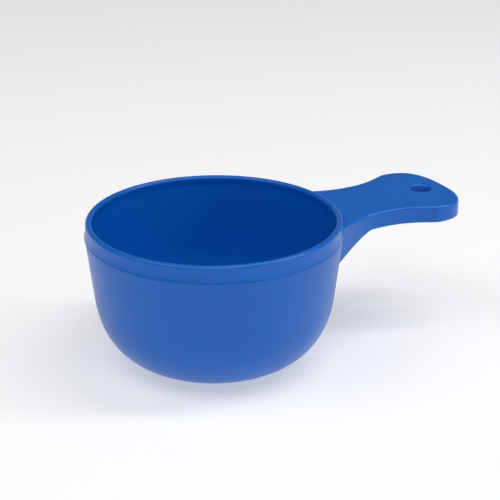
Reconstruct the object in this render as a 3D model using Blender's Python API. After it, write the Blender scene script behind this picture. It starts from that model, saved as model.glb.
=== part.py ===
"""Feed scoop: a round bowl of about one litre with a rim band and a short flat handle.

Frame: +Z up, +X along the handle, origin at the centre of the flat base, on the plane
that the scoop stands on. Metres. The scoop is one moulding in life. Its features are kept
as three solids, bowl, rim band and handle, with a small gap between neighbours.
"""
from math import atan2, cos, hypot, pi, radians, sin

import bmesh
import bpy

# ---- driving dimensions -------------------------------------------------------------
RADIUS = 0.0749                      # outside of the lip
HEIGHT = 0.0888                      # base to lip top
WALL = 0.0026                        # thickness of the base and of the handle's skirt
GAP = 0.0003                         # between neighbouring solids

LIP_ROUND = 0.0019                   # the lip is a full round of this radius
BAND_HEIGHT = 0.0095                 # lip top to the parting line
BAND_FLARE = 0.0009                  # the band is this much wider at its lower edge
FLARE_POWER = 3                      # how late the flare starts: depth to this power
BAND_STEP = 0.00035                  # the wall below the band steps in by this
LIP_RELIEF = 0.00035                 # inside, the wall under the lip stands back by this
RELIEF_DEPTH = 0.0060                # lip top to where the wall's inside line starts

WALL_TAPER = 0.1200                  # inward run of the wall per unit of depth
CORNER_REACH = 0.0419                # from the wall's foot corner to where it starts to bend
CORNER_WEIGHT = 0.945                # fullness of the corner's conic

HANDLE_DROP = 0.0064                 # lip top to the handle's flat top
HANDLE_DEPTH = 0.0103                # height of the skirt
HANDLE_TIP = 0.1606                  # bowl axis to the handle's end
HANDLE_ROUND = 0.0019                # rounding of the top edge
PLATE = 0.0025                       # thickness of the handle's top
LOBE_X = 0.1370                      # where the handle is widest
LOBE_FULLNESS = 2.7                  # exponent of the end's superellipse
GUSSET_X = 0.0922                    # the skirt gets deeper from here to the bowl
GUSSET_SLOPE = 0.43                  # extra depth per unit of length

# Half-width of the handle at stations from its root inside the wall to its widest place.
HALF_WIDTHS = [
    (0.0560, 0.0400),
    (0.0640, 0.0360),
    (0.0740, 0.0311),
    (0.0840, 0.0270),
    (0.0940, 0.0245),
    (0.1040, 0.0238),
    (0.1140, 0.0247),
    (0.1240, 0.0276),
    (0.1320, 0.0313),
    (LOBE_X, 0.0330),
]

HOLE_X = 0.1441                      # bowl axis to the hang hole's axis
HOLE_RADIUS = 0.0064
HOLE_ROUND = 0.0020                  # rounding of the hole's top edge
HOLE_DEPTH = 0.0031                  # below this the hole widens into the tube's bore
BORE_RADIUS = 0.0080
BOSS_WALL = 0.0022                   # wall of the tube round the hole

TURNS = 64                           # segments round the bowl
CORNER_STEPS = 9                     # segments along the bowl's corner
LIP_STEPS = 8                        # segments over the lip
FLARE_STEPS = 4                      # segments down the band's flare
STATION_STEPS = 3                    # segments between two stations of the handle's outline
END_STEPS = 9                        # segments along each quarter of the handle's end
ROUND_STEPS = 3                      # segments over a rounded edge
CREASE = 35                          # degrees between faces from which an edge is sharp

COLOUR = (0.016, 0.110, 0.390, 1.0)  # blue polypropylene
BOWL_ROUGHNESS = 0.38
RIM_ROUGHNESS = 0.34
HANDLE_ROUGHNESS = 0.36

# ---- worked out from them -----------------------------------------------------------
HANDLE_TOP = HEIGHT - HANDLE_DROP
HANDLE_FOOT = HANDLE_TOP - HANDLE_DEPTH
BAND_FOOT = HEIGHT - BAND_HEIGHT
BAND_RADIUS = RADIUS + BAND_FLARE
WALL_TOP_RADIUS = BAND_RADIUS - BAND_STEP
LIP_CENTRE = (RADIUS - LIP_ROUND, HEIGHT - LIP_ROUND)
LIP_INSIDE = RADIUS - 2 * LIP_ROUND  # inner radius of the lip
BELOW_ALL = -0.010
ABOVE_ALL = HEIGHT + 0.010


def clear_scene():
    for item in list(bpy.data.objects):
        bpy.data.objects.remove(item, do_unlink=True)


def plastic(name, roughness):
    """Blue polypropylene, satin outside."""
    material = bpy.data.materials.new(name)
    material.use_nodes = True
    shader = material.node_tree.nodes["Principled BSDF"]
    shader.inputs["Base Color"].default_value = COLOUR
    shader.inputs["Roughness"].default_value = roughness
    shader.inputs["Metallic"].default_value = 0.0
    return material


def add_object(name, mesh_builder, material=None):
    """Make an object from a bmesh, with its faces pointing out."""
    bmesh.ops.recalc_face_normals(mesh_builder, faces=mesh_builder.faces)
    mesh = bpy.data.meshes.new(name)
    mesh_builder.to_mesh(mesh)
    mesh_builder.free()
    item = bpy.data.objects.new(name, mesh)
    bpy.context.collection.objects.link(item)
    if material is None:
        item.hide_render = True
        item.display_type = "WIRE"
    else:
        mesh.materials.append(material)
        mesh.shade_smooth()
        mesh.set_sharp_from_angle(angle=radians(CREASE))
    return item


def turned(name, profile, closed, material=None):
    """Turn a profile of (radius, height) points about the Z axis."""
    builder = bmesh.new()
    points = [builder.verts.new((radius, 0.0, height)) for radius, height in profile]
    edges = [builder.edges.new(pair) for pair in zip(points, points[1:])]
    if closed:
        edges.append(builder.edges.new((points[-1], points[0])))
    bmesh.ops.spin(builder, geom=points + edges, cent=(0, 0, 0), axis=(0, 0, 1),
                   angle=2 * pi, steps=TURNS, use_merge=True)
    bmesh.ops.remove_doubles(builder, verts=builder.verts, dist=1e-6)
    return add_object(name, builder, material)


def arc(centre, radius, start, end, steps):
    """Points on an arc, angles in degrees from the +radius direction."""
    angles = [radians(start + (end - start) * i / steps) for i in range(steps + 1)]
    return [(centre[0] + radius * cos(a), centre[1] + radius * sin(a)) for a in angles]


def conic(start, corner, end, weight, steps):
    """Points on a rational quadratic curve, tangent to both legs of a corner."""
    points = []
    for i in range(steps + 1):
        t = i / steps
        a, b, c = (1 - t) ** 2, 2 * weight * t * (1 - t), t ** 2
        total = a + b + c
        points.append(tuple((a * p + b * q + c * r) / total
                            for p, q, r in zip(start, corner, end)))
    return points


# ---- bowl ---------------------------------------------------------------------------

def wall_radius(height):
    """Outside radius of the straight tapered wall at a height."""
    return WALL_TOP_RADIUS - WALL_TAPER * (BAND_FOOT - height)


def outer_profile():
    """Outside of the bowl, from the base's edge up to the start of the straight wall."""
    corner = (wall_radius(0.0), 0.0)
    lean = hypot(WALL_TAPER, 1.0)
    base_edge = (corner[0] - CORNER_REACH, 0.0)
    wall_foot = (corner[0] + CORNER_REACH * WALL_TAPER / lean, CORNER_REACH / lean)
    return conic(base_edge, corner, wall_foot, CORNER_WEIGHT, CORNER_STEPS)


def inset(profile, distance):
    """Move each point of a profile towards the bowl's inside, square to the profile."""
    moved = []
    last = len(profile) - 1
    for i, (radius, height) in enumerate(profile):
        before = profile[max(i - 1, 0)]
        after = profile[min(i + 1, last)]
        heading = atan2(after[1] - before[1], after[0] - before[0])
        if i == 0:
            heading = 0.0
        moved.append((radius - distance * sin(heading), height + distance * cos(heading)))
    return moved


def inner_radius(height):
    """Inside radius of the wall: a line from the top of the corner's inside to the lip's
    relief, so the wall gets thicker towards the rim."""
    low_radius, low = inset(outer_profile(), WALL)[-1]
    high_radius, high = LIP_INSIDE + LIP_RELIEF, HEIGHT - RELIEF_DEPTH
    return low_radius + (high_radius - low_radius) * (height - low) / (high - low)


def make_bowl():
    outside = outer_profile()
    inside = inset(outside, WALL)
    top = BAND_FOOT - GAP
    outer_top = (wall_radius(top), top)
    inner_top = (inner_radius(top), top)
    profile = [(0.0, 0.0)] + outside + [outer_top, inner_top] + inside[::-1] + [(0.0, WALL)]
    return turned("bowl", profile, closed=False,
                  material=plastic("bowl_plastic", BOWL_ROUGHNESS))


# ---- rim band -----------------------------------------------------------------------

def band_line():
    """Outside of the band from its foot up to the lip: upright, then flaring late."""
    points = []
    for k in range(FLARE_STEPS):
        depth = 1 - k / FLARE_STEPS
        height = LIP_CENTRE[1] - depth * (LIP_CENTRE[1] - BAND_FOOT)
        points.append((RADIUS + BAND_FLARE * depth ** FLARE_POWER, height))
    return points


def make_rim_band():
    relief_top = HEIGHT - RELIEF_DEPTH
    profile = [(inner_radius(BAND_FOOT), BAND_FOOT)] + band_line()
    profile += arc(LIP_CENTRE, LIP_ROUND, 0, 180, LIP_STEPS)
    profile.append((LIP_INSIDE + LIP_RELIEF, relief_top))
    return turned("rim_band", profile, closed=True,
                  material=plastic("rim_plastic", RIM_ROUGHNESS))


# ---- handle -------------------------------------------------------------------------

def smooth_between(stations, steps):
    """Points on a smooth curve through the stations, with easy slopes at each one."""
    slopes = []
    last = len(stations) - 1
    for i in range(last + 1):
        a = stations[max(i - 1, 0)]
        b = stations[min(i + 1, last)]
        slopes.append((b[1] - a[1]) / (b[0] - a[0]))
    slopes[last] = 0.0
    points = []
    for i in range(last):
        (x0, w0), (x1, w1) = stations[i], stations[i + 1]
        run = x1 - x0
        for k in range(steps):
            t = k / steps
            width = ((2 * t ** 3 - 3 * t ** 2 + 1) * w0 + (t ** 3 - 2 * t ** 2 + t) * run * slopes[i]
                     + (3 * t ** 2 - 2 * t ** 3) * w1 + (t ** 3 - t ** 2) * run * slopes[i + 1])
            points.append((x0 + run * t, width))
    return points


def handle_side(margin):
    """One side of the plan outline from root to tip, drawn in by a margin."""
    side = smooth_between(HALF_WIDTHS, STATION_STEPS)
    reach = HANDLE_TIP - LOBE_X
    lobe = HALF_WIDTHS[-1][1]
    for k in range(END_STEPS):
        turn = 0.5 * pi * k / END_STEPS
        side.append((LOBE_X + reach * sin(turn) ** (2 / LOBE_FULLNESS),
                     lobe * cos(turn) ** (2 / LOBE_FULLNESS)))
    side.append((HANDLE_TIP, 0.0))
    drawn_in = []
    last = len(side) - 1
    for i, (x, width) in enumerate(side):
        before = side[max(i - 1, 0)]
        after = side[min(i + 1, last)]
        length = hypot(after[0] - before[0], after[1] - before[1])
        across_x = -(after[1] - before[1]) / length
        across_y = (after[0] - before[0]) / length
        if i == last:
            across_x, across_y = 1.0, 0.0
        if i == 0:
            across_x = 0.0
        drawn_in.append((x - margin * across_x, width - margin * across_y))
    return drawn_in


def foot_height(x):
    """Height of the skirt's lower edge: level, then deeper towards the bowl."""
    return HANDLE_FOOT - GUSSET_SLOPE * max(0.0, GUSSET_X - x)


def slab(name, margin, top, foot, edge_round=0.0, material=None):
    """A solid on the handle's plan outline, with a flat top and a foot that follows X."""
    builder = bmesh.new()
    levels = []
    steps = ROUND_STEPS if edge_round else 0
    for k in range(steps + 1):
        turn = 0.5 * pi * k / steps if steps else 0.0
        inward = margin + edge_round * (1 - cos(turn))
        levels.append((inward, top - edge_round * (1 - sin(turn))))
    rings = [mirrored_ring(builder, handle_side(margin), foot)]
    for inward, height in levels:
        rings.append(mirrored_ring(builder, handle_side(inward), lambda x, h=height: h))
    count = len(rings[0])
    for lower, upper in zip(rings, rings[1:]):
        for i in range(count):
            k = (i + 1) % count
            builder.faces.new((upper[i], lower[i], lower[k], upper[k]))
    close_across(builder, rings[0])
    close_across(builder, rings[-1])
    return add_object(name, builder, material)


def mirrored_ring(builder, side, height):
    """A ring of vertices: one side of the outline, then its mirror image back to the root."""
    outline = side + [(x, -width) for x, width in reversed(side[:-1])]
    return [builder.verts.new((x, y, height(x))) for x, y in outline]


def close_across(builder, ring):
    """Close a ring with flat strips from each point to its mirror image."""
    tip = len(ring) // 2
    builder.faces.new((ring[tip - 1], ring[tip], ring[tip + 1]))
    for i in range(tip - 1):
        builder.faces.new((ring[i], ring[i + 1], ring[-i - 2], ring[-i - 1]))


def bowl_envelope():
    """The space that the bowl and its band take, with the gap round them."""
    taper_foot = wall_radius(0.0) + GAP
    wall_top = wall_radius(BAND_FOOT) + GAP
    band = BAND_RADIUS + GAP
    profile = [
        (0.0, BELOW_ALL),
        (taper_foot, BELOW_ALL),
        (taper_foot, 0.0),
        (wall_top, BAND_FOOT - GAP),
        (band, BAND_FOOT - GAP),
        (RADIUS + GAP, LIP_CENTRE[1]),
        (RADIUS + GAP, ABOVE_ALL),
        (0.0, ABOVE_ALL),
    ]
    return turned("envelope_cutter", profile, closed=False)


def tube_at_hole(name, profile):
    item = turned(name, profile, closed=False)
    item.location.x = HOLE_X
    return item


def cut(item, tool, operation):
    """Leave a live Boolean on the object."""
    modifier = item.modifiers.new(tool.name, "BOOLEAN")
    modifier.operation = operation
    modifier.solver = "EXACT"
    modifier.object = tool


def make_handle():
    skirt = slab("handle", 0.0, HANDLE_TOP, foot_height,
                 edge_round=HANDLE_ROUND, material=plastic("handle_plastic", HANDLE_ROUGHNESS))
    hollow = slab("hollow_cutter", WALL, HANDLE_TOP - PLATE,
                  lambda x: foot_height(x) - WALL)
    boss_radius = BORE_RADIUS + BOSS_WALL
    boss_top = HANDLE_TOP - 0.5 * PLATE
    boss = tube_at_hole("boss_guide", [(0.0, HANDLE_FOOT), (boss_radius, HANDLE_FOOT),
                                       (boss_radius, boss_top), (0.0, boss_top)])
    flare = arc((HOLE_RADIUS + HOLE_ROUND, HANDLE_TOP - HOLE_ROUND), HOLE_ROUND,
                180, 90, ROUND_STEPS)
    above = HANDLE_TOP + HOLE_ROUND
    bore_foot = HANDLE_FOOT - HOLE_ROUND
    ledge = HANDLE_TOP - HOLE_DEPTH
    bore = tube_at_hole("bore_cutter", [(0.0, bore_foot), (BORE_RADIUS, bore_foot),
                                        (BORE_RADIUS, ledge), (HOLE_RADIUS, ledge)] + flare
                        + [(HOLE_RADIUS + HOLE_ROUND, above), (0.0, above)])
    cut(skirt, hollow, "DIFFERENCE")
    cut(skirt, bowl_envelope(), "DIFFERENCE")
    cut(skirt, boss, "UNION")
    cut(skirt, bore, "DIFFERENCE")
    return skirt


clear_scene()
make_bowl()
make_rim_band()
make_handle()
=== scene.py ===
"""Feed scoop in blue polypropylene: bowl, rim band and handle, on a pale floor in soft light.

Metres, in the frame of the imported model: origin at the centre of the flat base, +Z up,
+X along the handle.
"""

import bmesh
import bpy
import numpy as np
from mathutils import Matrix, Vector


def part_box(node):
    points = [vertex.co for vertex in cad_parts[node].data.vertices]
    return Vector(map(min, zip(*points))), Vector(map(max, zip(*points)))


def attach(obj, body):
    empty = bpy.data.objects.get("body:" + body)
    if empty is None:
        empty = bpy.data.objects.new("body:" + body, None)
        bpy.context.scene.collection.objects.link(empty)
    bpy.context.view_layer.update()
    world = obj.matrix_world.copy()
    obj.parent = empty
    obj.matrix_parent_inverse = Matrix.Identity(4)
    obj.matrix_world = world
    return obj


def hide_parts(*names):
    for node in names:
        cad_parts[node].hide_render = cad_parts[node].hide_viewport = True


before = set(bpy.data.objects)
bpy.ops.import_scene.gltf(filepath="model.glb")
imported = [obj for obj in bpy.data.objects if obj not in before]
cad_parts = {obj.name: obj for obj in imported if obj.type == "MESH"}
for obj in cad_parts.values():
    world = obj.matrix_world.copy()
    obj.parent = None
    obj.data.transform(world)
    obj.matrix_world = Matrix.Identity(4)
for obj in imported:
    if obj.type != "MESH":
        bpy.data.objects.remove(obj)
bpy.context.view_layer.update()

# ---- bowl ---------------------------------------------------------------------------
# The bowl is the body of the moulding: a tapered wall that runs through one large soft
# corner into a flat base, in polypropylene. It is moulded round a core, so its inside is
# the same shape a wall's thickness smaller, and the gate's scar is under the base.

bowl_low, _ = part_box("bowl")
band_low, band_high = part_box("rim_band")

BASE_Z = bowl_low.z                   # height of the flat base
WALL_THICKNESS = 0.0026
WALL_TAPER = 0.120                    # inward run of the wall per unit of depth
CORNER_REACH = 0.0419                 # from the corner's apex to where the bend starts
CORNER_WEIGHT = 0.945                 # fullness of the bend
BAND_FOOT = band_low.z                # height of the parting line
BAND_STEP = 0.00035                   # the wall steps in under the band
WALL_TOP_RADIUS = band_high.x - BAND_STEP
BAND_FLARE = 0.0009                   # the band is this much wider at its foot than the lip
LIP_ROUND = 0.0019                    # half the lip's thickness
LIP_TOP = band_high.z
LIP_RADIUS = band_high.x - BAND_FLARE    # outside of the lip
LIP_RELIEF = 0.00035                  # inside, the wall under the lip stands back by this
RELIEF_DEPTH = 0.0060                 # lip top to where the wall's inside line starts
GROOVE_DEPTH = 0.0003                 # the wall tucks in under the band
GROOVE_HEIGHT = 0.0007
GATE_DIMPLE = 0.0045                  # radius of the dimple round the gate's scar
GATE_DEPTH = 0.0006
GATE_SCAR = 0.0013                    # radius of the scar itself
SCAR_PROUD = 0.0004                   # the scar stands this far out of the dimple
SCAR_SLOPE = 0.0002                   # run of the scar's sloping side
TURNS = 288                           # faces round the bowl
CORNER_ROWS = 64
FLAT_PLACES = [0.05, 0.2, 0.4, 0.6, 0.8, 0.95]    # rows across the flat base
WALL_PLACES = np.linspace(0.03, 1.0, 24)          # rows up the straight wall
MERGE_DISTANCE = 0.000002             # points closer than this are one point
CREASE_ANGLE = np.radians(38)         # the shading breaks at edges sharper than this


def wall_radius(z):
    """Outside radius of the straight wall: it falls in a line from the band's foot."""
    return WALL_TOP_RADIUS - WALL_TAPER * (BAND_FOOT - z)


def soft_corner(steps):
    """Outside of the bend from the base to the wall: a rational quadratic, weight w,
    tangent to the base and to the wall, ((1-t)^2 A + 2wt(1-t) B + t^2 C) / the weights."""
    apex = np.array([wall_radius(BASE_Z), BASE_Z])
    lean = np.array([WALL_TAPER, 1.0]) / np.hypot(WALL_TAPER, 1.0)
    start = apex - [CORNER_REACH, 0.0]
    end = apex + CORNER_REACH * lean
    t = np.linspace(0.0, 1.0, steps)[:, None]
    weights = np.hstack([(1 - t) ** 2, 2 * CORNER_WEIGHT * t * (1 - t), t ** 2])
    return weights @ np.array([start, apex, end]) / weights.sum(1, keepdims=True)


def drawn_in(profile, distance):
    """The same profile moved square to itself, to the left of its own direction."""
    heading = np.gradient(profile, axis=0)
    heading /= np.linalg.norm(heading, axis=1, keepdims=True)
    return profile + distance * np.stack([-heading[:, 1], heading[:, 0]], axis=1)


def bend(centre, radius, start, end, steps):
    """Points (r, z) on an arc round a centre, angles in degrees from +r towards +z."""
    angle = np.radians(np.linspace(start, end, steps))
    return np.array(centre) + radius * np.stack([np.cos(angle), np.sin(angle)], axis=1)


def straight(start, end, places):
    """Points on a line, at places from 0 at its start to 1 at its end."""
    places = np.array(places)[:, None]
    return np.array(start) * (1 - places) + np.array(end) * places


def turned_grid(profile, turns):
    """Grid of points (r cos a, r sin a, z): one row to a profile point, one column to
    each angle a, evenly spread round the axis."""
    angle = np.arange(turns) * 2 * np.pi / turns
    radius, height = profile[:, 0:1], profile[:, 1:2]
    return np.stack([radius * np.cos(angle), radius * np.sin(angle),
                     height + 0.0 * angle], axis=-1)


def grid_faces(rows, columns, ring):
    """Corners of each cell of a grid, and in a ring the last column meets the first."""
    across = columns if ring else columns - 1
    row, column = np.meshgrid(np.arange(rows - 1), np.arange(across), indexing="ij")
    beside = (column + 1) % columns
    corners = [row * columns + column, row * columns + beside,
               (row + 1) * columns + beside, (row + 1) * columns + column]
    return np.stack(corners, axis=-1).reshape(-1, 4)


def moulded_piece(name, points, faces):
    """One closed mesh: doubles merged, faces turned out, smooth except at creases."""
    mesh = bpy.data.meshes.new(name)
    mesh.from_pydata(points.reshape(-1, 3).tolist(), [], faces.tolist())
    shape = bmesh.new()
    shape.from_mesh(mesh)
    bmesh.ops.remove_doubles(shape, verts=shape.verts, dist=MERGE_DISTANCE)
    bmesh.ops.recalc_face_normals(shape, faces=shape.faces)
    shape.to_mesh(mesh)
    shape.free()
    mesh.shade_smooth()
    mesh.set_sharp_from_angle(angle=CREASE_ANGLE)
    piece = bpy.data.objects.new(name, mesh)
    bpy.context.collection.objects.link(piece)
    return piece


REFRACTION = 1.49
SURFACE_SHINE = 0.38
FLOW_SCALE = 22.0                     # patches of flow to a metre
TINT_DEEP = (0.0002, 0.1190, 0.522, 1.0)
TINT_PALE = (0.0006, 0.1280, 0.548, 1.0)
GLOSS_SCALE = 90.0
GLOSS_SPREAD = 0.03                   # the roughness varies by this to either side
NOISE_LOW, NOISE_HIGH = 0.3, 0.7      # the noise stays mostly between these
GRAIN_SIZE = 0.00030
GRAIN_STRENGTH = 0.25
GRAIN_DEPTH = 0.00002


def polypropylene(name, roughness):
    """Blue polypropylene from a satin mould: an even base colour with a trace of flow in
    it, a fine spark-eroded grain, and a gloss that varies a little over the face."""
    material = bpy.data.materials.new(name)
    material.use_nodes = True
    nodes, links = material.node_tree.nodes, material.node_tree.links
    shader = nodes["Principled BSDF"]
    shader.inputs["IOR"].default_value = REFRACTION
    shader.inputs["Specular IOR Level"].default_value = SURFACE_SHINE
    place = nodes.new("ShaderNodeTexCoord")

    flow = nodes.new("ShaderNodeTexNoise")
    flow.inputs["Scale"].default_value = FLOW_SCALE
    flow.inputs["Detail"].default_value = 3.0
    links.new(place.outputs["Object"], flow.inputs["Vector"])
    tint = nodes.new("ShaderNodeMix")
    tint.data_type = "RGBA"
    tint.inputs["A"].default_value = TINT_DEEP
    tint.inputs["B"].default_value = TINT_PALE
    links.new(flow.outputs["Fac"], tint.inputs["Factor"])
    links.new(tint.outputs["Result"], shader.inputs["Base Color"])

    gloss = nodes.new("ShaderNodeMapRange")
    gloss.inputs["From Min"].default_value = NOISE_LOW
    gloss.inputs["From Max"].default_value = NOISE_HIGH
    gloss.inputs["To Min"].default_value = roughness - GLOSS_SPREAD
    gloss.inputs["To Max"].default_value = roughness + GLOSS_SPREAD
    cloud = nodes.new("ShaderNodeTexNoise")
    cloud.inputs["Scale"].default_value = GLOSS_SCALE
    cloud.inputs["Detail"].default_value = 2.0
    links.new(place.outputs["Object"], cloud.inputs["Vector"])
    links.new(cloud.outputs["Fac"], gloss.inputs["Value"])
    links.new(gloss.outputs["Result"], shader.inputs["Roughness"])

    grain = nodes.new("ShaderNodeTexNoise")
    grain.inputs["Scale"].default_value = 1.0 / GRAIN_SIZE
    grain.inputs["Detail"].default_value = 4.0
    links.new(place.outputs["Object"], grain.inputs["Vector"])
    relief = nodes.new("ShaderNodeBump")
    relief.inputs["Strength"].default_value = GRAIN_STRENGTH
    relief.inputs["Distance"].default_value = GRAIN_DEPTH
    links.new(grain.outputs["Fac"], relief.inputs["Height"])
    links.new(relief.outputs["Normal"], shader.inputs["Normal"])
    return material


base_edge = soft_corner(2)[0, 0]
outside = soft_corner(CORNER_ROWS)
wall_foot_z = outside[-1, 1]
groove_top = wall_radius(BAND_FOOT) - GROOVE_DEPTH
dimple_z = BASE_Z + GATE_DEPTH
scar_z = dimple_z - SCAR_PROUD
under_base = np.vstack([
    [[0.0, scar_z]],
    straight((0.4 * GATE_SCAR, scar_z), (GATE_SCAR, scar_z), [0, 1]),
    straight((GATE_SCAR + SCAR_SLOPE, dimple_z), (GATE_DIMPLE - GATE_DEPTH, dimple_z), [0, 0.5, 1]),
    bend((GATE_DIMPLE, dimple_z), GATE_DEPTH, 180, 270, 7)[1:],
    straight((GATE_DIMPLE, BASE_Z), (base_edge, BASE_Z), FLAT_PLACES),
])
tucked_wall = straight((wall_radius(wall_foot_z), wall_foot_z),
                       (wall_radius(BAND_FOOT - GROOVE_HEIGHT), BAND_FOOT - GROOVE_HEIGHT),
                       WALL_PLACES)
fall = np.linspace(0.15, 1.0, 6)
groove = np.stack([
    wall_radius(BAND_FOOT - GROOVE_HEIGHT * (1 - fall)) - GROOVE_DEPTH * fall ** 2,
    BAND_FOOT - GROOVE_HEIGHT * (1 - fall),
], axis=1)
inside_bend = drawn_in(outside, WALL_THICKNESS)
relief_end = np.array([LIP_RADIUS - 2 * LIP_ROUND + LIP_RELIEF, LIP_TOP - RELIEF_DEPTH])
seam_part = (BAND_FOOT - inside_bend[-1, 1]) / (relief_end[1] - inside_bend[-1, 1])
inner_wall = straight(inside_bend[-1], relief_end, seam_part * WALL_PLACES)
floor_line = straight((0.0, BASE_Z + WALL_THICKNESS), inside_bend[0], [0] + FLAT_PLACES)
bowl_profile = np.vstack([under_base, outside, tucked_wall, groove,
                          inner_wall[::-1], inside_bend[::-1], floor_line[::-1]])
bowl = moulded_piece("scoop_bowl", turned_grid(bowl_profile, TURNS),
                     grid_faces(len(bowl_profile), TURNS, ring=True))
bowl.data.materials.append(polypropylene("bowl_polypropylene", roughness=0.34))
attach(bowl, "root")
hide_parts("bowl")

# ---- rim band -----------------------------------------------------------------------
# The rim is the top of the same wall, thickened and rolled over in a full round so that
# it stays stiff and kind to the hand. Outside it is a band that flares to the parting
# line, and inside the wall stands back a little under the lip.

FLARE_POWER = 3                       # the flare grows with this power of the depth
FOOT_ROUND = 0.00022                  # the band's lower edge is nearly sharp
BAND_RADIUS = band_high.x             # outside of the band at its foot
BAND_ROWS = 26
RELIEF_ROWS = 12
lip_centre = (LIP_RADIUS - LIP_ROUND, LIP_TOP - LIP_ROUND)


def band_radius(z):
    """Outside of the band: upright under the lip, r = lip + flare * depth ^ 3, with depth
    from 0 at the lip's middle to 1 at the band's foot."""
    depth = np.clip((lip_centre[1] - z) / (lip_centre[1] - BAND_FOOT), 0.0, 1.0)
    return LIP_RADIUS + BAND_FLARE * depth ** FLARE_POWER


band_heights = np.linspace(BAND_FOOT + 2 * FOOT_ROUND, lip_centre[1], BAND_ROWS)[:-1]
easing = np.linspace(0.0, 1.0, RELIEF_ROWS)[1:]
lip_inside = LIP_RADIUS - 2 * LIP_ROUND
relief = np.stack([
    lip_inside + LIP_RELIEF * (3 * easing ** 2 - 2 * easing ** 3),
    lip_centre[1] + (relief_end[1] - lip_centre[1]) * easing,
], axis=1)
rim_profile = np.vstack([
    inner_wall[-1:],
    [(groove_top, BAND_FOOT)],
    bend((BAND_RADIUS - FOOT_ROUND, BAND_FOOT + FOOT_ROUND), FOOT_ROUND, -90, 15, 6),
    np.stack([band_radius(band_heights), band_heights], axis=1),
    bend(lip_centre, LIP_ROUND, 0, 180, 33),
    relief,
    straight(relief_end, inner_wall[-1], [0.35, 0.7]),
])
rim_profile = np.vstack([rim_profile, rim_profile[:1]])
rim = moulded_piece("scoop_rim_band", turned_grid(rim_profile, TURNS),
                    grid_faces(len(rim_profile), TURNS, ring=True))
rim.data.materials.append(polypropylene("rim_polypropylene", roughness=0.31))
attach(rim, "root")
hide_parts("rim_band")

# ---- handle -------------------------------------------------------------------------
# The handle leaves the band and the wall as a flat plate with a skirt turned down round
# its edge, so it is an open channel underneath. The skirt deepens in a gusset to the
# wall, and a tube through the channel, a little wider than the hang hole, runs on from it.

_, handle_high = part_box("handle")
PLATE_TOP = handle_high.z
PLATE_THICKNESS = 0.0025
SKIRT_DEPTH = 0.0103
EDGE_ROUND = 0.0019
TIP_X = handle_high.x
LOBE_X = 0.1370                       # where the handle is widest
LOBE_FULLNESS = 2.7                   # exponent of the end's superellipse
GUSSET_X = 0.0922                     # from here to the bowl the skirt gets deeper
GUSSET_SLOPE = 0.43
GUSSET_SOFTNESS = 0.0012
HOLE_X = 0.1441
HOLE_RADIUS = 0.0064
HOLE_ROUND = 0.0020
HOLE_DEPTH = 0.0031                   # below this the hole widens into the tube's bore
BORE_RADIUS = 0.0080
BOSS_RADIUS = 0.0102                  # outside of the tube
LEDGE_ROUND = 0.0002                  # rounding of the edge where the hole widens
BOSS_ROUND = 0.0003                   # rounding of the tube's lower edges
TURN_LEAD = 0.004                     # the grid starts to turn this far before the hole
SLIDE_RUN = 0.036                     # and its lines slide ahead over this length before that
TURN_X = HOLE_X - HOLE_RADIUS - HOLE_ROUND - TURN_LEAD
SLIDE_X = TURN_X - SLIDE_RUN
OPEN_X = 0.1000                       # from here out a row keeps one length along the outline
FOOT_EDGE = 0.0004                    # rounding of the skirt's lower edges
INNER_FILLET = 0.0009
FILLET_REACH = 0.0010                 # length of each leg of the fillet on the bowl
FILLET_SUNK = 0.00005                 # the fillet's last row lies just under the bowl's face
ROOT_BURIED = 0.0005                  # how far the root runs into the wall
STRETCH_POWER = 4                     # the smoothed outline is stretched to the tip by this power
SMOOTHING_SPAN = 81                   # points of the outline under the smoothing curve
OUTLINE_POINTS = 1600
CURVE_POINTS = 1200
HALVINGS = 40
FILLET_ROWS, ROOT_ROWS, NECK_ROWS, END_ROWS = 8, 45, 46, 97
ROOT_CROWDING = 1.3                   # the rows crowd towards the bowl by this power
HALF_WIDTHS = np.array([
    (0.0480, 0.0440),
    (0.0560, 0.0400),
    (0.0640, 0.0360),
    (0.0740, 0.0311),
    (0.0840, 0.0270),
    (0.0940, 0.0245),
    (0.1040, 0.0238),
    (0.1140, 0.0247),
    (0.1240, 0.0276),
    (0.1320, 0.0313),
    (LOBE_X, 0.0330),
])


def spline(stations, values, x):
    """Cubic through the stations with a continuous bend, free at its start and level at
    its end. The bends m solve a row for each station, h_a m_a + 2 (h_a + h_b) m_b + h_b m_c
    = 6 (slope_b - slope_a)."""
    run, rise = np.diff(stations), np.diff(values)
    count = len(stations)
    rows, goal = np.zeros((count, count)), np.zeros(count)
    rows[0, 0] = 1.0
    for k in range(1, count - 1):
        rows[k, k - 1:k + 2] = run[k - 1], 2 * (run[k - 1] + run[k]), run[k]
        goal[k] = 6 * (rise[k] / run[k] - rise[k - 1] / run[k - 1])
    rows[-1, -2:] = run[-1], 2 * run[-1]
    goal[-1] = -6 * rise[-1] / run[-1]
    bends = np.linalg.solve(rows, goal)
    k = np.clip(np.searchsorted(stations, x) - 1, 0, count - 2)
    a, b = (stations[k + 1] - x) / run[k], (x - stations[k]) / run[k]
    return (a * values[k] + b * values[k + 1]
            + ((a ** 3 - a) * bends[k] + (b ** 3 - b) * bends[k + 1]) * run[k] ** 2 / 6)


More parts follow.
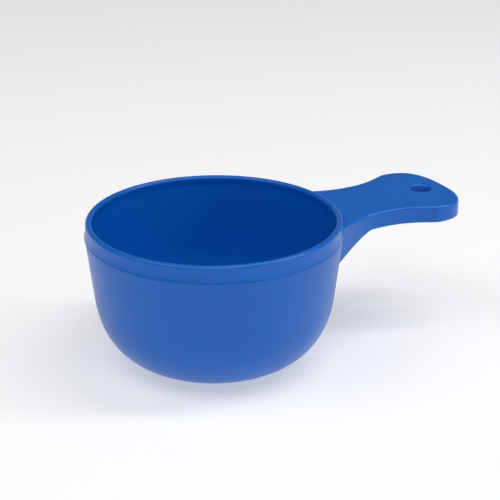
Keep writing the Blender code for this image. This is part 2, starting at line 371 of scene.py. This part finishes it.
def plan_outline(count):
    """One side of the plan from inside the wall to the tip, evenly spaced: a spline through
    the half-widths, then a superellipse quarter round the end."""
    stations, widths = HALF_WIDTHS.T
    x = np.linspace(stations[0], LOBE_X, CURVE_POINTS)
    width = spline(stations, widths, x)
    turn = np.linspace(0.0, 0.5 * np.pi, CURVE_POINTS)[1:]
    power = 2 / LOBE_FULLNESS
    end_x = LOBE_X + (TIP_X - LOBE_X) * np.sin(turn) ** power
    end_width = widths[-1] * np.abs(np.cos(turn)) ** power
    line = np.stack([np.append(x, end_x), np.append(width, end_width)], axis=1)
    line[-1] = (TIP_X, 0.0)
    length = np.append(0.0, np.cumsum(np.linalg.norm(np.diff(line, axis=0), axis=1)))
    along = np.linspace(0.0, length[-1], count)
    return along, np.stack([np.interp(along, length, line[:, i]) for i in (0, 1)], axis=1)


along, outline = plan_outline(OUTLINE_POINTS)
mirrored = np.vstack([outline, (outline * [1, -1])[-2::-1]])
kernel = np.exp(-0.5 * np.linspace(-3.0, 3.0, SMOOTHING_SPAN) ** 2)
kernel /= kernel.sum()
margin = SMOOTHING_SPAN // 2
padded_line = np.pad(mirrored, ((margin, margin), (0, 0)), mode="reflect", reflect_type="odd")
smoothed = np.stack([np.convolve(padded_line[:, i], kernel, "valid") for i in (0, 1)], axis=1)
outline = smoothed[:len(along)]
outline[-1, 1] = 0.0
outline[:, 0] *= 1 - (outline[-1, 0] - TIP_X) / TIP_X * (along / along[-1]) ** STRETCH_POWER
heading = np.gradient(outline, axis=0)
heading /= np.linalg.norm(heading, axis=1, keepdims=True)
outward = np.stack([-heading[:, 1], heading[:, 0]], axis=1)
outward[-1] = (1.0, 0.0)


def on_outline(table, s):
    """Values of an outline table at lengths s, by linear interpolation."""
    return np.stack([np.interp(s, along, table[:, i]) for i in (0, 1)], axis=-1)


def skirt_depth(x):
    """Plate top to the skirt's foot: level, then growing in a line towards the bowl, with
    a soft bend between, d + slope (a + sqrt(a^2 + e^2)) / 2 for a = gusset start - x."""
    short = GUSSET_X - x
    soft = np.sqrt(short ** 2 + GUSSET_SOFTNESS ** 2)
    return SKIRT_DEPTH + GUSSET_SLOPE * 0.5 * (short + soft)


def inner_line(s, radius):
    """Where a line across the plate starts: on the centre line, then round the hole. It
    slides ahead to reach the hole's near side, and turns half round it to the tip."""
    s_turn = np.interp(TURN_X, outline[:, 0], along)
    s_slide = np.interp(SLIDE_X, outline[:, 0], along)
    part = np.clip((s - s_slide) / (s_turn - s_slide), 0.0, 1.0)
    slide = HOLE_X - radius - TURN_X
    x = np.interp(s, along, outline[:, 0]) + slide * part ** 2 * (3 - 2 * part)
    turn = np.pi * np.clip((s - s_turn) / (along[-1] - s_turn), 0.0, 1.0)
    on_hole = s >= s_turn
    round_x = HOLE_X - radius * np.cos(turn)
    return np.stack([np.where(on_hole, round_x, x),
                     np.where(on_hole, radius * np.sin(turn), 0.0)], axis=-1)


# Places across the plate, turns of its rounded edge, places down the skirt, turns of its foot.
across = np.array([0, 0.12, 0.25, 0.4, 0.55, 0.7, 0.82, 0.91, 0.96, 0.985, 1.0])
quarter = np.radians(np.linspace(0, 90, 9))
down = np.concatenate([[0.02, 0.06], np.linspace(0.12, 0.88, 14), [0.94, 0.98]])
small = np.radians(np.linspace(0, 90, 5))
PLATE_COLUMNS, ROUND_COLUMNS, SKIRT_COLUMNS = len(across), len(quarter) - 1, len(down)
COLUMNS = 2 * (PLATE_COLUMNS + ROUND_COLUMNS + SKIRT_COLUMNS) + 2 * len(small)


def channel_points(s):
    """Points of the handle's half for lengths s (rows, columns). Columns go round the
    section: plate top, rounded edge, skirt, foot, inside of the skirt, underside."""
    edge = on_outline(outline, s)
    side = on_outline(outward, s)
    depth = skirt_depth(edge[..., 0])
    points = np.zeros(s.shape + (3,))
    normals = np.zeros(s.shape + (3,))

    def place(column, inward, drop, lean, tilt):
        """Column at a distance in from the outline and down from the plate's top."""
        points[:, column, :2] = edge[:, column] - inward * side[:, column]
        points[:, column, 2] = PLATE_TOP - drop
        normals[:, column, :2] = lean * side[:, column]
        normals[:, column, 2] = tilt

    column = 0
    for part in across:
        start = inner_line(s[:, column], HOLE_RADIUS + HOLE_ROUND)
        end = edge[:, column] - EDGE_ROUND * side[:, column]
        points[:, column, :2] = start * (1 - part) + end * part
        points[:, column, 2] = PLATE_TOP
        normals[:, column, 2] = 1.0
        column += 1
    for turn in quarter[1:]:
        place(column, EDGE_ROUND * (1 - np.sin(turn)), EDGE_ROUND * (1 - np.cos(turn)),
              np.sin(turn), np.cos(turn))
        column += 1
    for part in down:
        reach = depth[:, column] - FOOT_EDGE - EDGE_ROUND
        place(column, 0.0, EDGE_ROUND + part * reach, 1.0, 0.0)
        column += 1
    for turn in small:
        place(column, FOOT_EDGE * (1 - np.cos(turn)),
              depth[:, column] - FOOT_EDGE * (1 - np.sin(turn)), np.cos(turn), -np.sin(turn))
        column += 1
    for turn in small[::-1]:
        place(column, WALL_THICKNESS - FOOT_EDGE * (1 - np.cos(turn)),
              depth[:, column] - FOOT_EDGE * (1 - np.sin(turn)), 0.0, -np.sin(turn))
        column += 1
    ceiling = PLATE_THICKNESS + INNER_FILLET
    for part in down[::-1]:
        reach = depth[:, column] - FOOT_EDGE - ceiling
        place(column, WALL_THICKNESS, ceiling + part * reach, 0.0, 0.0)
        column += 1
    for turn in quarter[::-1][:-1]:
        place(column, WALL_THICKNESS + INNER_FILLET * (1 - np.sin(turn)),
              PLATE_THICKNESS + INNER_FILLET * (1 - np.cos(turn)), 0.0, 0.0)
        column += 1
    for part in across[::-1]:
        start = inner_line(s[:, column], BOSS_RADIUS)
        end = edge[:, column] - (WALL_THICKNESS + INNER_FILLET) * side[:, column]
        points[:, column, :2] = start * (1 - part) + end * part
        points[:, column, 2] = PLATE_TOP - PLATE_THICKNESS
        column += 1
    return points, normals


def bowl_outside(z):
    """Radius of the bowl's solid outside at a height: the band above its foot, and the
    tucked-in wall below it."""
    tuck = GROOVE_DEPTH * np.clip(1 - (BAND_FOOT - z) / GROOVE_HEIGHT, 0, 1)
    return np.where(z >= BAND_FOOT, band_radius(z), wall_radius(z) - tuck)


def from_bowl(points):
    """Distance of points outside the bowl's wall, level with the floor."""
    return np.hypot(points[..., 0], points[..., 1]) - bowl_outside(points[..., 2])


def put_on_bowl(points, buried):
    """Points moved level to the bowl's outside, less a depth under its surface."""
    radius = np.hypot(points[..., 0], points[..., 1])
    scale = (bowl_outside(points[..., 2]) - buried) / radius
    return points * np.stack([scale, scale, np.ones_like(scale)], axis=-1)


def length_at(clearance):
    """Length at which each column's line is this far outside the bowl, by halving."""
    near, far = np.zeros((1, COLUMNS)), np.full((1, COLUMNS), 0.5 * along[-1])
    for _ in range(HALVINGS):
        middle = 0.5 * (near + far)
        inside = from_bowl(channel_points(middle)[0]) < clearance
        near = np.where(inside, middle, near)
        far = np.where(inside, far, middle)
    return 0.5 * (near + far)


root = length_at(0.0)
meeting, facing = channel_points(root)
step = 0.0002
pace = np.linalg.norm(channel_points(root + step)[0] - meeting, axis=-1) / step
clear_of_fillet = root + FILLET_REACH / pace
away = meeting * [1, 1, 0] / np.hypot(meeting[..., 0], meeting[..., 1])[..., None]
away[..., 2] = -WALL_TAPER
away /= np.linalg.norm(away, axis=-1, keepdims=True)
size = np.linalg.norm(facing, axis=-1, keepdims=True)
spread = facing - away * (facing * away).sum(-1, keepdims=True)
spread *= size / np.maximum(np.linalg.norm(spread, axis=-1, keepdims=True), 1e-9)
landing = put_on_bowl(meeting + FILLET_REACH * spread, FILLET_SUNK)
buried_row = put_on_bowl(landing, ROOT_BURIED)
takeoff = channel_points(clear_of_fillet)[0]
part = np.linspace(0.0, 1.0, FILLET_ROWS)[:-1, None, None]
fillet_rows = (1 - part) ** 2 * landing + 2 * part * (1 - part) * meeting + part ** 2 * takeoff

s_open = np.interp(OPEN_X, outline[:, 0], along)
s_hole = np.interp(TURN_X, outline[:, 0], along)
crowded = np.linspace(0, 1, ROOT_ROWS)[:-1, None] ** ROOT_CROWDING
root_lengths = clear_of_fillet + (s_open - clear_of_fillet) * crowded
neck_lengths = np.linspace(s_open, s_hole, NECK_ROWS)[:-1, None] + 0 * root
end_lengths = np.linspace(s_hole, along[-1], END_ROWS)[:, None] + 0 * root
lengths = np.vstack([root_lengths, neck_lengths, end_lengths])
points = np.concatenate([buried_row, fillet_rows, channel_points(lengths)[0]])

half_faces = grid_faces(len(points), COLUMNS, ring=False)
left, right = np.arange(COLUMNS // 2 - 1), COLUMNS - 1 - np.arange(COLUMNS // 2 - 1)
root_cap = np.stack([left, left + 1, right - 1, right], axis=1)
half_faces = np.vstack([half_faces, root_cap])
half = points.reshape(-1, 3)
other_half = half * [1, -1, 1]

turn = np.pi * (lengths[-END_ROWS:, 0] - s_hole) / (along[-1] - s_hole)
turn = np.append(turn, 2 * np.pi - turn[-2:0:-1])
top_z, under_z = PLATE_TOP, PLATE_TOP - PLATE_THICKNESS
boss_foot = PLATE_TOP - SKIRT_DEPTH
ledge = PLATE_TOP - HOLE_DEPTH
boss_profile = np.vstack([
    [(HOLE_RADIUS + HOLE_ROUND, top_z)],
    bend((HOLE_RADIUS + HOLE_ROUND, top_z - HOLE_ROUND), HOLE_ROUND, 90, 180, 9)[1:],
    bend((HOLE_RADIUS + LEDGE_ROUND, ledge + LEDGE_ROUND), LEDGE_ROUND, 180, 270, 4),
    straight((HOLE_RADIUS + LEDGE_ROUND, ledge), (BORE_RADIUS, ledge), [0.2, 0.8, 1.0]),
    straight((BORE_RADIUS, ledge), (BORE_RADIUS, boss_foot + BOSS_ROUND), [0.1, 0.5, 0.95]),
    bend((BORE_RADIUS + BOSS_ROUND, boss_foot + BOSS_ROUND), BOSS_ROUND, 180, 270, 5),
    bend((BOSS_RADIUS - BOSS_ROUND, boss_foot + BOSS_ROUND), BOSS_ROUND, 270, 360, 5),
    straight((BOSS_RADIUS, boss_foot + BOSS_ROUND), (BOSS_RADIUS, under_z), [0.05, 0.5, 1.0]),
])
radius, height = boss_profile[:, 0:1], boss_profile[:, 1:2]
boss = np.stack([HOLE_X - radius * np.cos(turn), radius * np.sin(turn), height + 0 * turn], axis=-1)
boss_faces = grid_faces(len(boss_profile), len(turn), ring=True)
handle_points = np.vstack([half, other_half, boss.reshape(-1, 3)])
handle_faces = np.vstack([half_faces, half_faces[:, ::-1] + len(half), boss_faces + 2 * len(half)])
handle = moulded_piece("scoop_handle", handle_points, handle_faces)
handle.data.materials.append(polypropylene("handle_polypropylene", roughness=0.29))
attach(handle, "root")
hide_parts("handle")

# ---- floor --------------------------------------------------------------------------
# A table of white opal sheet, far wider than the view and lit a little from below, so that
# it stays pale and the scoop's shadow on it stays soft.

FLOOR_HALF = 6.0
FLOOR_WHITE = 0.60                    # what the sheet gives back of the light on it
FLOOR_GLOW = 0.46                     # what comes up through it

floor_mesh = bpy.data.meshes.new("floor")
floor_mesh.from_pydata([(-FLOOR_HALF, -FLOOR_HALF, 0), (FLOOR_HALF, -FLOOR_HALF, 0),
                        (FLOOR_HALF, FLOOR_HALF, 0), (-FLOOR_HALF, FLOOR_HALF, 0)],
                       [], [(0, 1, 2, 3)])
floor = bpy.data.objects.new("floor", floor_mesh)
bpy.context.collection.objects.link(floor)
opal = bpy.data.materials.new("opal_sheet")
opal.use_nodes = True
opal_shader = opal.node_tree.nodes["Principled BSDF"]
opal_shader.inputs["Base Color"].default_value = (FLOOR_WHITE, FLOOR_WHITE, FLOOR_WHITE, 1.0)
opal_shader.inputs["Roughness"].default_value = 0.9
opal_shader.inputs["Specular IOR Level"].default_value = 0.0
opal_shader.inputs["Emission Color"].default_value = (1.0, 1.0, 1.0, 1.0)
opal_shader.inputs["Emission Strength"].default_value = FLOOR_GLOW
floor_mesh.materials.append(opal)

# ---- light --------------------------------------------------------------------------
# Soft studio light: a large box over the camera, one nearly as strong on the left, a weak
# one on the right, and a long narrow strip overhead on the right that draws the edges. The
# surround is dim, with a pale backdrop behind the table's far edge.

CAMERA_TURN = np.radians(-26.57)      # the camera's azimuth round the scoop
LIGHT_AIM = Vector((0.03, 0.0, 0.05))
SURROUND = 0.115
BACKDROP = 0.62                       # a pale band behind the table's far edge
BACKDROP_TOP = 0.10                   # sine of the height at which the band starts to fade
BACKDROP_FADE = 0.10                  # and it has faded by this much higher


def softbox(name, right, back, up, side, length, power):
    """A flat light aimed at the scoop, placed by the camera's right, back and up."""
    lamp = bpy.data.lights.new(name, "AREA")
    lamp.shape = "RECTANGLE"
    lamp.size = side
    lamp.size_y = length
    lamp.energy = power
    box = bpy.data.objects.new(name, lamp)
    c, s = np.cos(CAMERA_TURN), np.sin(CAMERA_TURN)
    box.location = (right * c - back * s, right * s + back * c, up)
    box.rotation_euler = (LIGHT_AIM - box.location).to_track_quat("-Z", "Y").to_euler()
    bpy.context.collection.objects.link(box)


softbox("front_box", right=0.0, back=-0.9, up=1.5, side=1.0, length=1.0, power=7.4)
softbox("right_box", right=1.5, back=-0.9, up=0.8, side=1.1, length=1.1, power=2.2)
softbox("left_box", right=-0.9, back=-0.3, up=1.4, side=1.0, length=1.0, power=6.9)
softbox("strip_box", right=0.82, back=-0.02, up=1.27, side=0.16, length=1.6, power=10.4)

surround = bpy.data.worlds.new("surround")
surround.use_nodes = True
sky_nodes, sky_links = surround.node_tree.nodes, surround.node_tree.links
direction = sky_nodes.new("ShaderNodeTexCoord")
upward = sky_nodes.new("ShaderNodeSeparateXYZ")
sky_links.new(direction.outputs["Generated"], upward.inputs["Vector"])
fade = sky_nodes.new("ShaderNodeMapRange")
fade.interpolation_type = "SMOOTHSTEP"
fade.inputs["From Min"].default_value = BACKDROP_TOP
fade.inputs["From Max"].default_value = BACKDROP_TOP + BACKDROP_FADE
fade.inputs["To Min"].default_value = BACKDROP
fade.inputs["To Max"].default_value = SURROUND
sky_links.new(upward.outputs["Z"], fade.inputs["Value"])
sky_links.new(fade.outputs["Result"], sky_nodes["Background"].inputs["Strength"])
sky_nodes["Background"].inputs["Color"].default_value = (1.0, 1.0, 1.0, 1.0)
bpy.context.scene.world = surround
bpy.context.scene.view_settings.view_transform = "Standard"

# ---- camera -------------------------------------------------------------------------
# A long lens, above the rim, in front and on the side away from the handle.

CAMERA_DISTANCE = 0.900               # from the centre of the lip
CAMERA_RISE = np.radians(21.06)
CAMERA_AIM = Vector((0.0152, -0.0159, 0.0710))
FOCAL_LENGTH = 111.27                 # in millimetres, like the sensor's width
SENSOR_WIDTH = 36.0
lens = bpy.data.cameras.new("camera")
lens.sensor_width = SENSOR_WIDTH
lens.lens = FOCAL_LENGTH
camera = bpy.data.objects.new("camera", lens)
flat = CAMERA_DISTANCE * np.cos(CAMERA_RISE)
camera.location = (flat * np.sin(CAMERA_TURN), -flat * np.cos(CAMERA_TURN),
                   LIP_TOP + CAMERA_DISTANCE * np.sin(CAMERA_RISE))
look = CAMERA_AIM - camera.location
camera.rotation_euler = look.to_track_quat("-Z", "Y").to_euler()
bpy.context.collection.objects.link(camera)
bpy.context.scene.camera = camera
